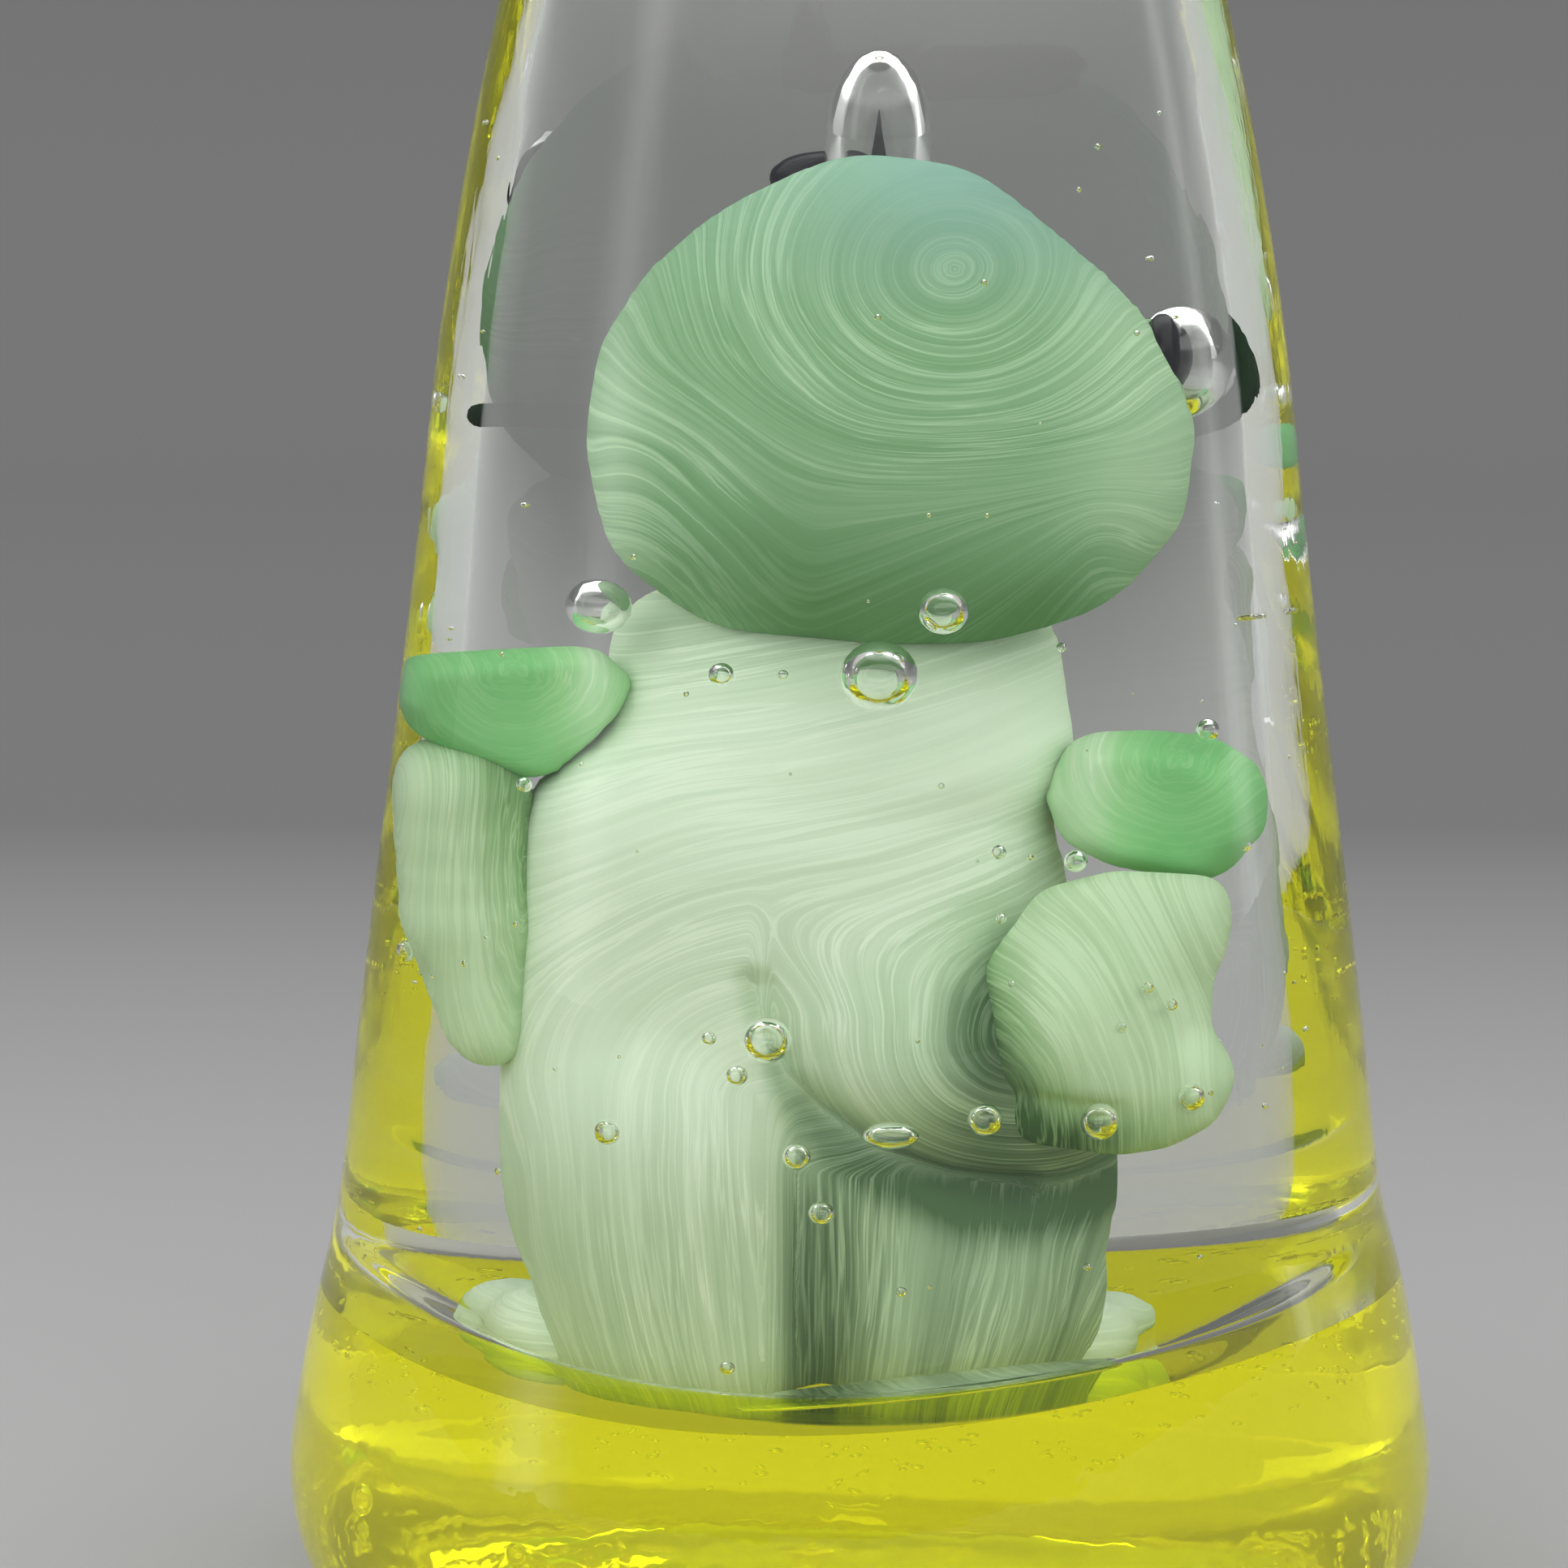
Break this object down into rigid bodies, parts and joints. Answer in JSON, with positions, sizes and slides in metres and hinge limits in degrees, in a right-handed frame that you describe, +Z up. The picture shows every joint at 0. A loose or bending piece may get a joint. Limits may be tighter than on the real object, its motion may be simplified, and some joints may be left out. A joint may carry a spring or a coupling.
{
  "type": "glass paperweight",
  "caption": "Tapered clear glass paperweight on a yellow glass foot, with a green frog-like figure and trapped air bubbles sealed inside.",
  "frame": {"origin": "centre of the foot's flat underside", "axes": "+Z up along the casing's axis; the sealed figure's back faces -Y and its face +Y; +X is to the right when the figure's back is looked at"},
  "size_m": [0.0458, 0.037, 0.098],
  "materials": {
    "clear_glass": "fire-polished clear glass",
    "yellow_glass": "fire-polished lemon-yellow glass",
    "pale_green_glass": "opaque pale celadon glass with drawn streaks",
    "head_green_glass": "opaque sage-green glass with swirled streaks",
    "leaf_green_glass": "opaque leaf-green glass",
    "dark_green_glass": "opaque dark green glass stringer",
    "black_glass": "opaque black glass"
  },
  "bodies": {
    "root": {"clear_casing": "clear_glass", "yellow_foot": "yellow_glass", "torso": "pale_green_glass", "left_leg": "pale_green_glass", "right_leg": "pale_green_glass", "hip_lobe": "pale_green_glass", "neck": "pale_green_glass", "head": "head_green_glass", "mouth": "dark_green_glass", "left_eye": "black_glass", "right_eye": "black_glass", "left_shoulder": "leaf_green_glass", "left_forearm": "pale_green_glass", "right_shoulder": "leaf_green_glass", "right_hand": "pale_green_glass", "left_foot": "pale_green_glass", "right_foot": "pale_green_glass"}
  },
  "joints": []
}
